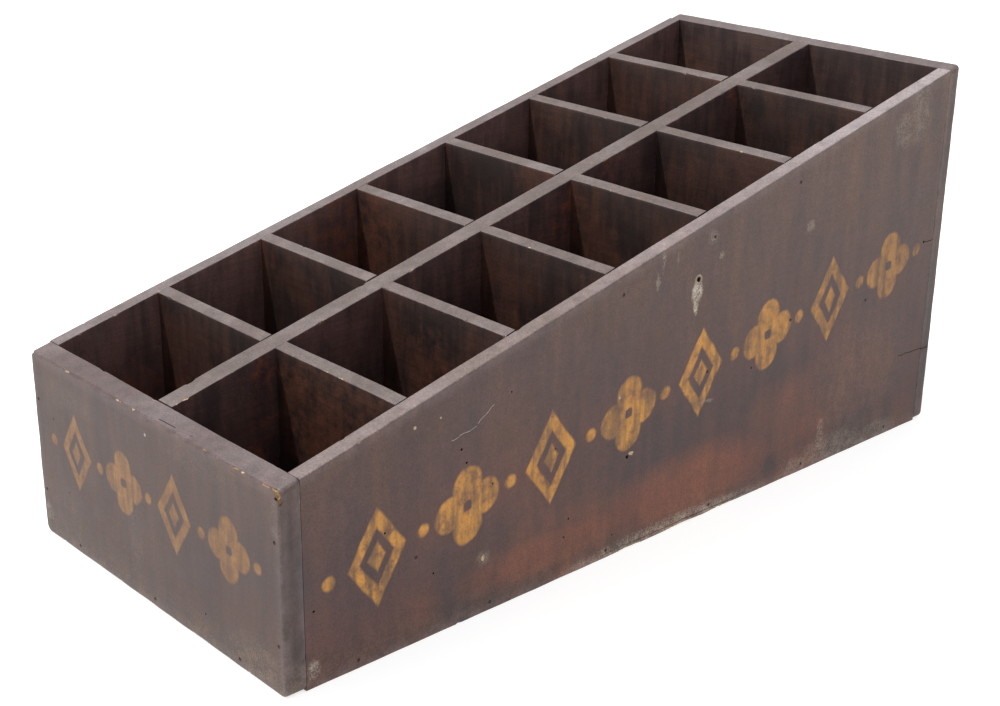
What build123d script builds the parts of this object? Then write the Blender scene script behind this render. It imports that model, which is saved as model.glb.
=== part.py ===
from build123d import *
import os
from collections import namedtuple

# Sloping counter bin of nailed boards: two columns and seven rows of open compartments.
# Millimetres. X is the width, Y runs from the low front to the tall rear, Z is up.
# The origin is the middle of the underside.

# Overall sizes
length = 660.0
width = 298.0
front_height = 140.0
rear_height = 303.0

# Board thicknesses
front_thickness = 15.4
rear_thickness = 12.2
side_thickness = 12.6
bottom_thickness = 12.7
centre_thickness = 16.7
divider_thickness = 9.8

# Where the inner boards stand
centre_offset = 1.25
divider_count = 6
divider_drift = (-0.4, -1.7, -2.4, -3.2, -2.0, 1.1)

# Gaps left by hand fitting
divider_end_gap = 0.7
centre_front_gap = 0.8
centre_slot_play = 0.9
divider_slot_play = 0.4
lap_depth_gap = 0.5
bottom_gap = 0.25

# Worn and rounded corners and arrises
lower_corner_wear = 5.5
upper_corner_wear = 3.6
front_arris_wear = 3.0
rear_arris_wear = 1.6
side_arris_wear = 0.8
divider_arris_wear = 0.6

# Machine-cut nails: of one gauge, with two sides that taper to a blunt point
nail_length = 36.0
nail_gauge = 1.7
nail_shank_width = 2.3
nail_point_width = 1.0
nail_head_width = 3.1
nail_head_breadth = 2.5
nail_head_height = 0.9
nail_sink = 0.4
nail_clearance = 0.05
nail_tip_room = 0.5

# Where the nails stand
front_nail_count = 2
rear_nail_count = 4
bottom_side_nail_count = 6
bottom_end_nail_count = 3
divider_nail_below_top = 14.3
divider_low_nail_heights = (62.0, 75.0, 121.0, 116.5, 134.0, 128.0)
centre_nail_below_top = 14.0
centre_low_nail_height = 42.0

# Places worked out from the sizes
left_x = -width / 2
right_x = width / 2
front_y = -length / 2
rear_y = length / 2
inner_left_x = left_x + side_thickness
inner_right_x = right_x - side_thickness
inner_front_y = front_y + front_thickness
inner_rear_y = rear_y - rear_thickness
centre_left_x = centre_offset - centre_thickness / 2
centre_right_x = centre_offset + centre_thickness / 2
left_board_x = (left_x + inner_left_x) / 2
right_board_x = (right_x + inner_right_x) / 2
row_length = (inner_rear_y - inner_front_y - divider_count * divider_thickness) / (divider_count + 1)
slope = (rear_height - front_height) / length


def top_z(y):
    """Height of the sloping top at this place along the length."""
    return front_height + slope * (y - front_y)


def divider_y(i):
    """Middle of cross divider i along the length."""
    even = inner_front_y + row_length * (i + 1) + divider_thickness * (i + 0.5)
    return even + divider_drift[i % len(divider_drift)]


def spread(low, high, count):
    """The middles of equal shares of the way from low to high."""
    return [low + (high - low) * (i + 0.5) / count for i in range(count)]


def board_outline(y_low, y_high, z_low):
    """Side view of a board whose top is bevelled to the slope, drawn on the YZ plane."""
    Polyline(
        (y_low, z_low),
        (y_high, z_low),
        (y_high, top_z(y_high)),
        (y_low, top_z(y_low)),
        close=True,
    )


# A row of nails goes through the board that it covers with its heads, and into the next one.
NailRow = namedtuple("NailRow", "name heads outward cover")

front_nail_z = spread(0, front_height, front_nail_count)
rear_nail_z = spread(0, rear_height, rear_nail_count)
bottom_nail_y = spread(front_y, rear_y, bottom_side_nail_count)
bottom_nail_x = spread(left_x, right_x, bottom_end_nail_count)
bottom_nail_z = bottom_thickness / 2
centre_front_nail_z = (centre_low_nail_height, front_height - centre_nail_below_top)
centre_rear_nail_z = (centre_low_nail_height, rear_height / 2, rear_height - centre_nail_below_top)

divider_nail_places = []
for i in range(divider_count):
    low_z = divider_low_nail_heights[i % len(divider_low_nail_heights)]
    divider_nail_places.append((divider_y(i), low_z))
    divider_nail_places.append((divider_y(i), top_z(divider_y(i)) - divider_nail_below_top))

to_front = Vector(0, -1, 0)
to_rear = Vector(0, 1, 0)
to_left = Vector(-1, 0, 0)
to_right = Vector(1, 0, 0)


def end_row(name, x_places, z_places, at_front):
    """Nails driven through the front board, or else through the rear board."""
    y = front_y if at_front else rear_y
    outward = to_front if at_front else to_rear
    cover = front_thickness if at_front else rear_thickness
    return NailRow(name, [(x, y, z) for x in x_places for z in z_places], outward, cover)


def side_row(name, places, at_left):
    """Nails driven through the left side board, or else through the right one."""
    x = left_x if at_left else right_x
    outward = to_left if at_left else to_right
    return NailRow(name, [(x, y, z) for y, z in places], outward, side_thickness)


bottom_nail_places = [(y, bottom_nail_z) for y in bottom_nail_y]
front_left = end_row("nails_front_left", [left_board_x], front_nail_z, at_front=True)
front_right = end_row("nails_front_right", [right_board_x], front_nail_z, at_front=True)
rear_left = end_row("nails_rear_left", [left_board_x], rear_nail_z, at_front=False)
rear_right = end_row("nails_rear_right", [right_board_x], rear_nail_z, at_front=False)
centre_front = end_row("nails_centre_front", [centre_offset], centre_front_nail_z, at_front=True)
centre_rear = end_row("nails_centre_rear", [centre_offset], centre_rear_nail_z, at_front=False)
dividers_left = side_row("nails_dividers_left", divider_nail_places, at_left=True)
dividers_right = side_row("nails_dividers_right", divider_nail_places, at_left=False)
bottom_left = side_row("nails_bottom_left", bottom_nail_places, at_left=True)
bottom_right = side_row("nails_bottom_right", bottom_nail_places, at_left=False)
bottom_front = end_row("nails_bottom_front", bottom_nail_x, [bottom_nail_z], at_front=True)
bottom_rear = end_row("nails_bottom_rear", bottom_nail_x, [bottom_nail_z], at_front=False)
nail_rows = [
    front_left,
    front_right,
    rear_left,
    rear_right,
    centre_front,
    centre_rear,
    dividers_left,
    dividers_right,
    bottom_left,
    bottom_right,
    bottom_front,
    bottom_rear,
]


def nail_seats(row, depth=0.0, heads=None):
    """Planes square to the nails at this depth, with X along the grain of the board."""
    along_grain = Vector(0, 0, 1).cross(row.outward)
    return [
        Plane(origin=Vector(head) - row.outward * depth, x_dir=along_grain, z_dir=row.outward)
        for head in heads or row.heads
    ]


def sink_heads(row):
    """Holes through the board that the nails hold, with a seat for each head."""
    with BuildSketch(*nail_seats(row)) as shank_holes:
        Rectangle(nail_shank_width + 2 * nail_clearance, nail_gauge + 2 * nail_clearance)
    extrude(shank_holes.sketch, amount=-row.cover, mode=Mode.SUBTRACT)
    with BuildSketch(*nail_seats(row)) as head_seats:
        Rectangle(nail_head_width + 2 * nail_clearance, nail_head_breadth + 2 * nail_clearance)
    extrude(head_seats.sketch, amount=-(nail_sink + nail_head_height), mode=Mode.SUBTRACT)


def take_shanks(row, heads=None):
    """Holes in the board that the nails are driven into."""
    with BuildSketch(*nail_seats(row, row.cover, heads)) as shank_holes:
        Rectangle(nail_shank_width + 2 * nail_clearance, nail_gauge + 2 * nail_clearance)
    depth = nail_sink + nail_length + nail_tip_room - row.cover
    extrude(shank_holes.sketch, amount=-depth, mode=Mode.SUBTRACT)


def round_end_board(board, outer_face, arris_wear):
    """Round the corners of an end board, then ease every arris of its outer face."""
    fillet(board.edges().filter_by(Axis.Y).group_by(Axis.Z)[0], lower_corner_wear)
    top_ends = board.faces().sort_by(Axis.Z)[-1].edges().sort_by(Axis.X)
    fillet([top_ends[0], top_ends[-1]], upper_corner_wear)
    fillet(board.faces().sort_by(Axis.Y)[outer_face].edges(), arris_wear)


def keep(builder, label):
    """Name the finished piece and write it."""
    builder.part.label = label
    export_step(builder.part, f"parts/{label}.step")


os.makedirs("parts", exist_ok=True)

# Front board: it covers the ends of the side boards, and its top arris is rubbed round.
with BuildPart() as front_board:
    with BuildSketch(Plane.YZ.offset(left_x)):
        with BuildLine():
            board_outline(front_y, inner_front_y, 0)
        make_face()
    extrude(amount=width)
    round_end_board(front_board, 0, front_arris_wear)
    for row in (front_left, front_right, centre_front, bottom_front):
        sink_heads(row)
keep(front_board, "front_board")

# Rear board: the tall end, nailed over the side boards in the same way.
with BuildPart() as rear_board:
    with BuildSketch(Plane.YZ.offset(left_x)):
        with BuildLine():
            board_outline(inner_rear_y, rear_y, 0)
        make_face()
    extrude(amount=width)
    round_end_board(rear_board, -1, rear_arris_wear)
    for row in (rear_left, rear_right, centre_rear, bottom_rear):
        sink_heads(row)
keep(rear_board, "rear_board")

# Side boards: wide boards with the sloping top sawn in, held between the two end boards.
SideBoard = namedtuple("SideBoard", "name x_low outer_edge end_rows own_rows")
left_rows = (dividers_left, bottom_left)
right_rows = (dividers_right, bottom_right)
side_boards = (
    SideBoard("side_board_left", left_x, 0, (front_left, rear_left), left_rows),
    SideBoard("side_board_right", inner_right_x, -1, (front_right, rear_right), right_rows),
)
for board in side_boards:
    with BuildPart() as side_board:
        with BuildSketch(Plane.YZ.offset(board.x_low)):
            with BuildLine():
                board_outline(inner_front_y, inner_rear_y, 0)
            make_face()
        extrude(amount=side_thickness)
        sloping = side_board.faces().sort_by(Axis.Z)[-1]
        fillet(sloping.edges().sort_by(Axis.X)[board.outer_edge], side_arris_wear)
        for row in board.end_rows:
            take_shanks(row)
        for row in board.own_rows:
            sink_heads(row)
    keep(side_board, board.name)

# Bottom board: let in flush between the four outer boards.
with BuildPart() as bottom_board:
    with BuildSketch(Plane.XY):
        with Locations(((inner_left_x + inner_right_x) / 2, (inner_front_y + inner_rear_y) / 2)):
            Rectangle(
                inner_right_x - inner_left_x - 2 * bottom_gap,
                inner_rear_y - inner_front_y - 2 * bottom_gap,
            )
    extrude(amount=bottom_thickness)
    for row in (bottom_left, bottom_right, bottom_front, bottom_rear):
        take_shanks(row)
keep(bottom_board, "bottom_board")


def lap_z(i):
    """Height at which the two boards of crossing i meet, half way up."""
    return (bottom_thickness + top_z(divider_y(i))) / 2


# Centre divider: one long board with a slot from below at each crossing.
with BuildPart() as centre_divider:
    with BuildSketch(Plane.YZ.offset(centre_left_x)):
        with BuildLine():
            board_outline(inner_front_y + centre_front_gap, inner_rear_y, bottom_thickness)
        make_face()
        for i in range(divider_count):
            slot_height = lap_z(i) - bottom_thickness
            with Locations((divider_y(i), bottom_thickness)):
                Rectangle(
                    divider_thickness + divider_slot_play,
                    slot_height,
                    align=(Align.CENTER, Align.MIN),
                    mode=Mode.SUBTRACT,
                )
    extrude(amount=centre_thickness)
    sloping = centre_divider.faces().sort_by(Axis.Z)[-1]
    fillet(sloping.edges().filter_by(Plane.YZ), divider_arris_wear)
    for row in (centre_front, centre_rear):
        take_shanks(row)
keep(centre_divider, "centre_divider")

# Cross dividers: six boards, each with a slot from above that drops over the centre divider.
for i in range(divider_count):
    front_face_y = divider_y(i) - divider_thickness / 2
    rear_face_y = divider_y(i) + divider_thickness / 2
    with BuildPart() as cross_divider:
        with BuildSketch(Plane.YZ.offset(inner_left_x)):
            with BuildLine():
                board_outline(front_face_y, rear_face_y, bottom_thickness)
            make_face()
        extrude(amount=inner_right_x - inner_left_x - divider_end_gap)
        sloping = cross_divider.faces().sort_by(Axis.Z)[-1]
        fillet(sloping.edges().filter_by(Axis.X), divider_arris_wear)
        with BuildSketch(Plane.XY.offset(lap_z(i) - lap_depth_gap)):
            with Locations((centre_right_x, divider_y(i))):
                Rectangle(
                    centre_thickness + centre_slot_play,
                    divider_thickness,
                    align=(Align.MAX, Align.CENTER),
                )
        extrude(amount=rear_height, mode=Mode.SUBTRACT)
        for row in (dividers_left, dividers_right):
            take_shanks(row, row.heads[2 * i : 2 * i + 2])
    keep(cross_divider, f"cross_divider_{i + 1}")

# Nails: each row is one group of separate nails.
for row in nail_rows:
    with BuildPart() as nails:
        for head in row.heads:
            with BuildSketch(*nail_seats(row, nail_sink, [head])):
                Rectangle(nail_head_width, nail_head_breadth)
            extrude(amount=-nail_head_height)
            with BuildSketch(*nail_seats(row, nail_sink + nail_head_height, [head])):
                Rectangle(nail_shank_width, nail_gauge)
            with BuildSketch(*nail_seats(row, nail_sink + nail_length, [head])):
                Rectangle(nail_point_width, nail_gauge)
            loft()
    keep(nails, row.name)
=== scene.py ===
# %% [markdown]
# # A sloping counter bin of old painted boards
#
# The object is a wooden bin that stood on a shop counter: four outer boards, a bottom, one long
# centre board and six cross boards that slot over it. The build123d model gives the real size of
# every board and nail. Here every board but the bottom is modelled again with the worn arrises,
# chips and nail holes of an old box, and gets the finish that a hundred years of hands and dust
# leave on paint.

# %% Load the frame
import math
import random
from collections import namedtuple

import bpy
import bmesh
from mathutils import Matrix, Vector, noise


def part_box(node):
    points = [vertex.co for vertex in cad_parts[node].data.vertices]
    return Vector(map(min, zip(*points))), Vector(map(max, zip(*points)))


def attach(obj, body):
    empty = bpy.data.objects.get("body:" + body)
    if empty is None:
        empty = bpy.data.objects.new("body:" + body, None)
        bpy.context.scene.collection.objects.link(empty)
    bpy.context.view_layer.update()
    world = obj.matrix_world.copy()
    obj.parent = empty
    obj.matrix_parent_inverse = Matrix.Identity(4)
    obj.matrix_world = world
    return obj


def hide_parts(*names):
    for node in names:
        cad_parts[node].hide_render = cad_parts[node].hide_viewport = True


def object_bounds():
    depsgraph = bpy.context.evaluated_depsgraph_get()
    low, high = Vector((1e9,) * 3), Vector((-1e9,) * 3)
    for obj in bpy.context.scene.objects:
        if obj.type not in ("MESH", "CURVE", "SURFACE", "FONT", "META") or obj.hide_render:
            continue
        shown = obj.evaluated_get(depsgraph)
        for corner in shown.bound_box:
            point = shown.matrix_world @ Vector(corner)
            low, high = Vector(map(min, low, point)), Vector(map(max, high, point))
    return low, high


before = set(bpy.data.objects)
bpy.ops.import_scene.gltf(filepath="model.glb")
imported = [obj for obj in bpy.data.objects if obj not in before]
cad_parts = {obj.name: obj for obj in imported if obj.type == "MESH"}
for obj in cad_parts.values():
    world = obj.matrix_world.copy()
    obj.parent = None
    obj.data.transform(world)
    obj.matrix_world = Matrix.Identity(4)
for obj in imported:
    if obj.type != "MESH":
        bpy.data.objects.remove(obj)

mm = 0.001
cad_box = [list(corner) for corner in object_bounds()]
print("CAD box in metres:", cad_box)

# %% [markdown]
# ## Studio
#
# The bin stands on a white sweep that is lit from below, as product tables are, so that no dark
# shadow lies on it. A large even sky lights every side, and one small lamp high up throws the
# narrow shadow wedges into the compartments. The camera looks down at the low front corner
# through a longer lens, which keeps the long side nearly free of perspective.

# %% Floor
floor_half_width = 6.0

bpy.ops.object.select_all(action="DESELECT")
bpy.ops.mesh.primitive_plane_add(size=2 * floor_half_width)
floor = bpy.context.object
floor.name = "floor"

# %% [markdown]
# Colours are written as sRGB hex, as a colour picker shows them, and a shader needs linear
# values, so one function turns them. A second small function adds a node: it sets the options
# that are named, and links or fills the inputs.

# %% Colour and node helpers
def linear(hex_colour):
    """The linear red, green, blue and alpha of an sRGB hex colour."""
    parts = [int(hex_colour[i:i + 2], 16) / 255 for i in (1, 3, 5)]
    return [p / 12.92 if p <= 0.04045 else ((p + 0.055) / 1.055) ** 2.4 for p in parts] + [1.0]


def add(tree, kind, inputs=None, **options):
    """One new node, with its options set and its inputs linked or filled."""
    new = tree.nodes.new(kind)
    for name, value in options.items():
        setattr(new, name, value)
    for name, value in (inputs or {}).items():
        if isinstance(value, bpy.types.NodeSocket):
            tree.links.new(value, new.inputs[name])
        else:
            new.inputs[name].default_value = value
    return new


def new_material(name):
    """A material with nodes, its tree and its Principled shader."""
    material = bpy.data.materials.new(name)
    material.use_nodes = True
    return material, material.node_tree, material.node_tree.nodes["Principled BSDF"]


# %% [markdown]
# Three kinds of node come again and again, so they get short names. Where a node has several
# inputs of one name, the number tells them apart: a Mix node takes its share at 0, two numbers at
# 2 and 3 or two colours at 6 and 7, and a Map Range node turns the range from 1 to 2 into the
# range from 3 to 4.

# %% Short names for nodes
maths, ranged, mixed = "ShaderNodeMath", "ShaderNodeMapRange", "ShaderNodeMix"

# %% Matt white floor and even sky
lit_from_below = 0.65

floor_material, tree, shader = new_material("matt_white_paper")
paper_spots = add(tree, "ShaderNodeTexNoise", {"Scale": 3.0, "Detail": 2.0})
paper_tone = add(tree, mixed, {0: paper_spots.outputs[0], 6: linear("#bababa"), 7: linear("#bebebe")},
                 data_type="RGBA")
tree.links.new(paper_tone.outputs[2], shader.inputs["Base Color"])
shader.inputs["Roughness"].default_value = 0.9
shader.inputs["Emission Color"].default_value = linear("#ffffff")
shader.inputs["Emission Strength"].default_value = lit_from_below
floor.data.materials.append(floor_material)

sky_strength = 1.1

scene = bpy.context.scene
world = bpy.data.worlds.new("even_sky")
world.use_nodes = True
world.node_tree.nodes["Background"].inputs["Color"].default_value = linear("#ffffff")
world.node_tree.nodes["Background"].inputs["Strength"].default_value = sky_strength
scene.world = world
scene.view_settings.view_transform = "Standard"

# %% Overhead lamp
lamp_aim = Vector((0, 0, 0.15))
lamp_lean_left = math.radians(17.5)
lamp_lean_front = math.radians(19)
lamp_distance = 3.0
lamp_size = 0.12
lamp_power = 122.0

lamp_way = Vector((-math.tan(lamp_lean_left), -math.tan(lamp_lean_front), 1)).normalized()
bpy.ops.object.light_add(type="AREA", location=lamp_aim + lamp_distance * lamp_way)
lamp = bpy.context.object
lamp.name = "overhead_lamp"
lamp.data.size = lamp_size
lamp.data.energy = lamp_power
lamp.rotation_euler = lamp_way.to_track_quat("Z", "Y").to_euler()

# %% Camera
camera_place = Vector((0.87168, -0.82082, 0.56547))
camera_aim = Vector((-0.01979, 0.00116, 0.09682))
camera_roll = math.radians(0.776)

bpy.ops.object.camera_add(location=camera_place)
camera = bpy.context.object
camera.name = "camera"
camera.data.sensor_width = 36
camera.data.lens = 60.14
camera.data.shift_x = -0.0050
camera.data.shift_y = -0.0061
camera.rotation_euler = (camera_aim - camera_place).to_track_quat("-Z", "Y").to_euler()
camera.rotation_euler.rotate_axis("Z", camera_roll)
scene.camera = camera
print("camera", (camera_place - camera_aim).length, "m from its aim")

# %% [markdown]
# ## Boards
#
# A board could be one scaled cube with a bevel, but then every edge is a ruled line. On the real
# bin the arrises are rubbed round by hands, more in some places than in others, and here and
# there a chip is gone. So each board starts as a cube, is cut to the slope with a bisect, gets
# rings of edges by subdividing, and the rings are crowded toward the arrises, where the wear
# needs them. Only then are the vertices near an arris moved inward.

# %% Sizes that the boards share
length = 660 * mm
front_height = 140 * mm
rear_height = 303 * mm
slope = (rear_height - front_height) / length


def top_z(y):
    """Height of the sloping top at this place along the length."""
    return front_height + slope * (y + length / 2)


print("slope", round(math.degrees(math.atan(slope)), 2), "degrees")

# %% A rough board, cut to the slope
def rough_board(node):
    """A cube at the size and place of this CAD board, with the slope sawn off its top."""
    low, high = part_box(node)
    high.z = max(high.z, top_z(high.y))
    bpy.ops.object.select_all(action="DESELECT")
    bpy.ops.mesh.primitive_cube_add(size=1, location=(low + high) / 2, scale=high - low)
    board = bpy.context.object
    board.name = node + "_worn"
    bpy.ops.object.transform_apply(location=True, rotation=True, scale=True)
    bpy.ops.object.mode_set(mode="EDIT")
    bpy.ops.mesh.select_all(action="SELECT")
    bpy.ops.mesh.bisect(
        plane_co=(0, -length / 2, front_height), plane_no=(0, -slope, 1), use_fill=True, clear_outer=True
    )
    bpy.ops.object.mode_set(mode="OBJECT")
    return board


# %% [markdown]
# Subdividing all the edges that run one way adds rings square to them, as a loop cut does by
# hand. One call adds at most a hundred cuts, so a long board is cut twice.

# %% Rings across a board
def add_rings(board, axis, cuts):
    """Subdivide the edges that run along this axis, once for each number of cuts."""
    bpy.context.view_layer.objects.active = board
    bpy.ops.object.mode_set(mode="EDIT")
    bpy.ops.mesh.select_mode(type="EDGE")
    for number in cuts:
        bpy.ops.mesh.select_all(action="DESELECT")
        mesh = bmesh.from_edit_mesh(board.data)
        for edge in mesh.edges:
            way = edge.verts[1].co - edge.verts[0].co
            edge.select_set(abs(way[axis]) > 0.9 * way.length)
        bpy.ops.mesh.subdivide(number_cuts=number)
    bpy.ops.object.mode_set(mode="OBJECT")


# %% [markdown]
# The next function slides the rings toward both ends of an axis. A crowding of 0 keeps them
# even, and near 1 it packs them at the arrises. Heights are shares of the way from the underside
# to the slope, so the rows of a sloping board fan out along it.

# %% Crowd the rings at the arrises
def crowd(share, crowding):
    """A share from 0 to 1, moved toward the nearer end."""
    return share - crowding * math.sin(2 * math.pi * share) / (2 * math.pi)


def crowd_rings(board, node, crowding):
    """Slide the rings of each axis by its own crowding."""
    low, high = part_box(node)
    for vertex in board.data.vertices:
        spot = vertex.co
        place = spot.copy()
        for axis in (0, 1):
            share = (spot[axis] - low[axis]) / (high[axis] - low[axis])
            place[axis] = low[axis] + crowd(share, crowding[axis]) * (high[axis] - low[axis])
        share = (spot.z - low.z) / (top_z(spot.y) - low.z)
        place.z = low.z + crowd(share, crowding[2]) * (top_z(place.y) - low.z)
        vertex.co = place


# %% [markdown]
# Wear is a radius that changes along the arris. A slow noise makes it wander, and where a
# second, quicker noise is high, a chip bites deeper. The same function later tells the paint
# where the wood is bare.

# %% How far an arris is worn at a place
wander_length = 22 * mm
chip_length = 7 * mm
chip_threshold = 0.5
chip_growth = 5.0


def chip(spot, seed):
    """From 0 on sound wood to about 1 in the middle of a chip."""
    high = noise.noise(spot / chip_length + Vector((seed, 0, 0))) - chip_threshold
    return min(1.0, max(0.0, high * chip_growth))


def worn_radius(spot, seed, radius, chip_radius):
    """The radius of a worn arris here."""
    wander = 0.95 + 0.45 * noise.noise(spot / wander_length + Vector((0, seed, 0)))
    return radius * wander + chip_radius * chip(spot, seed)


# %% [markdown]
# An upright board has two flat faces and an outline of two ends, a top and an underside. The
# outline's corners are rounded first, and then the arrises between the outline and the faces.
# Both use one rule: a point near a corner keeps its larger way out from the corner's inner point
# and is pulled onto a circle of that radius, which turns square rings into round ones without
# folding any.

# %% Pull a corner round
def rounded(first, second):
    """How far two ways out from a corner's inner point shrink when the square becomes round."""
    if first <= 0 or second <= 0:
        return 0.0, 0.0
    pull = 1 - max(first, second) / math.hypot(first, second)
    return first * pull, second * pull


# %% Ways in from the outside of a board
class Depth:
    """Where a point of an upright board lies, counted inward from its ends, rim and faces."""

    def __init__(self, spot, low, high, across):
        along = 1 - across
        self.end_side = 1 if spot[along] < (low[along] + high[along]) / 2 else -1
        self.end = spot[along] - low[along] if self.end_side > 0 else high[along] - spot[along]
        self.rim_side = 1 if spot.z < (low.z + top_z(spot.y)) / 2 else -1
        self.rim = spot.z - low.z if self.rim_side > 0 else top_z(spot.y) - spot.z
        self.face_side = 1 if spot[across] < (low[across] + high[across]) / 2 else -1
        self.face = spot[across] - low[across] if self.face_side > 0 else high[across] - spot[across]


# %% Wear the outline and the arrises
def wear_board(board, node, across, seed, low_corner=0.0, top_corner=0.0, outer_side=0,
               outer_arris=0.5 * mm, inner_arris=0.5 * mm, chip_radius=1.5 * mm, free_ends=False):
    """Round the outline in its own plane, then wear the arrises of both faces."""
    along = 1 - across
    low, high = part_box(node)
    for vertex in board.data.vertices:
        spot = vertex.co.copy()
        depth = Depth(spot, low, high, across)
        corner = low_corner if depth.rim_side > 0 else top_corner
        end_move, rim_move = rounded(corner - depth.end, corner - depth.rim)
        outline_in = min(depth.end, depth.rim) if free_ends else depth.rim
        arris = outer_arris if depth.face_side == outer_side else inner_arris
        radius = worn_radius(spot, seed, arris, chip_radius)
        outline_move, face_move = rounded(radius - outline_in, radius - depth.face)
        share_end = 1.0 if outline_in == depth.end and free_ends else 0.0
        share_rim = 1.0 - share_end
        if depth.end < corner and depth.rim < corner:
            size = math.hypot(corner - depth.end, corner - depth.rim)
            share_end = (corner - depth.end) / size
            share_rim = (corner - depth.rim) / size
        spot[along] += depth.end_side * (end_move + outline_move * share_end)
        spot.z += depth.rim_side * (rim_move + outline_move * share_rim)
        spot[across] += depth.face_side * face_move
        vertex.co = spot


# %% [markdown]
# Old boards aren't quite flat either: planing leaves shallow hollows, and the top is dipped where
# hands rested. These moves only go inward, so the bin never grows past its real size.

# %% Hollow the faces and the top
hollow_length = 70 * mm
face_hollow = 0.35 * mm
top_hollow = 0.7 * mm


def hollow_board(board, node, across, seed):
    """Shallow hollows in both faces and in the sloping top."""
    low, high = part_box(node)
    for vertex in board.data.vertices:
        spot = vertex.co
        dip = 0.5 + 0.5 * noise.noise(spot / hollow_length + Vector((0, 0, seed)))
        depth = Depth(spot, low, high, across)
        half = (high[across] - low[across]) / 2
        share_top = max(0.0, 1 - (top_z(spot.y) - spot.z) / (12 * mm))
        vertex.co[across] += depth.face_side * face_hollow * dip * (1 - depth.face / half)
        vertex.co.z -= top_hollow * dip * share_top


# %% [markdown]
# The paint needs to know where it lies, so every board carries three values on its vertices:
# how near an exposed arris is, whether the face is an inner one, and where a chip has bared the
# wood. A value on the mesh follows the shape exactly, also round the worn arrises.

# %% Marks that the finish reads
arris_reach = 9 * mm
outside_depth = 2.5 * mm
chip_reach = 2.6 * mm


def mark_board(board, node, across, seed, outer_side=0, free_ends=False):
    """Store the nearness to an arris, the inside and the bare wood on the vertices."""
    low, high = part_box(node)
    nearness = board.data.attributes.new("arris", "FLOAT", "POINT")
    inside = board.data.attributes.new("inside", "FLOAT", "POINT")
    bare = board.data.attributes.new("bare", "FLOAT", "POINT")
    for vertex in board.data.vertices:
        spot = vertex.co
        depth = Depth(spot, low, high, across)
        outline_in = min(depth.end, depth.rim) if free_ends else depth.rim
        from_arris = max(outline_in, depth.face)
        nearness.data[vertex.index].value = max(0.0, 1 - from_arris / arris_reach)
        on_outer_face = depth.face_side == outer_side and depth.face < outside_depth
        on_end = free_ends and depth.end < outside_depth
        inside.data[vertex.index].value = 0.0 if on_outer_face or on_end else 1.0
        bare.data[vertex.index].value = chip(spot, seed) * max(0.0, 1 - from_arris / chip_reach)


# %% [markdown]
# Each board is now a few calls. The numbers of cuts give rings about 1.5 mm apart where an
# arris shows and coarse ones where nothing happens.

# %% Make a worn board
def worn_board(node, across, seed, cuts, crowding, outer_side=0, free_ends=False, **wear):
    """A worn board in place of the CAD board, with its marks."""
    board = rough_board(node)
    for axis in (0, 1, 2):
        add_rings(board, axis, cuts[axis])
    crowd_rings(board, node, crowding)
    wear_board(board, node, across, seed, outer_side=outer_side, free_ends=free_ends, **wear)
    hollow_board(board, node, across, seed)
    mark_board(board, node, across, seed, outer_side, free_ends)
    bpy.ops.object.select_all(action="DESELECT")
    board.select_set(True)
    bpy.context.view_layer.objects.active = board
    bpy.ops.object.shade_smooth_by_angle(angle=math.radians(24))
    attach(board, "root")
    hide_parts(node)
    print(board.name, len(board.data.polygons), "faces")
    return board


# %% The two end boards
across_x, across_y = 0, 1

front_board = worn_board(
    "front_board", across_y, seed=3, cuts=([12, 12], [9], [6, 7]), crowding=(0.6, 0.5, 0.75),
    outer_side=1, free_ends=True, low_corner=6.0 * mm, top_corner=4.0 * mm,
    outer_arris=2.4 * mm, inner_arris=0.7 * mm,
)
rear_board = worn_board(
    "rear_board", across_y, seed=11, cuts=([12, 12], [9], [8, 9]), crowding=(0.6, 0.5, 0.85),
    outer_side=-1, free_ends=True, low_corner=5.5 * mm, top_corner=3.8 * mm,
    outer_arris=1.9 * mm, inner_arris=0.7 * mm,
)

# %% The two side boards
side_cuts = ([9], [19, 19], [5, 5])
side_left = worn_board(
    "side_board_left", across_x, seed=23, cuts=side_cuts, crowding=(0.5, 0, 0.93),
    outer_side=1, outer_arris=1.1 * mm, inner_arris=0.7 * mm,
)
side_right = worn_board(
    "side_board_right", across_x, seed=31, cuts=side_cuts, crowding=(0.5, 0, 0.93),
    outer_side=-1, outer_arris=1.1 * mm, inner_arris=0.7 * mm,
)

# %% The centre board and the cross boards
centre_board = worn_board(
    "centre_divider", across_x, seed=43, cuts=([9], [19, 19], [4, 5]), crowding=(0.5, 0, 0.93),
    outer_arris=0.8 * mm, inner_arris=0.8 * mm, chip_radius=2.0 * mm,
)
cross_boards = []
for i in range(1, 7):
    cross_boards.append(
        worn_board(
            f"cross_divider_{i}", across_y, seed=50 + 7 * i, cuts=([12, 12], [7], [4, 4]),
            crowding=(0, 0.5, 0.93), outer_arris=0.7 * mm, inner_arris=0.7 * mm, chip_radius=2.0 * mm,
        )
    )

# %% [markdown]
# ## Finishes
#
# The outside is old brown oil paint on pine. It has gone matt, and a century of dust and handling
# has greyed it, most on the top edges, which face up. The same paint is redder low down, where
# less light reached it. Inside, the boards only have a dark walnut stain, brushed along the
# grain and rubbed through to red-brown wood in patches. The undersides were never painted.

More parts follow.
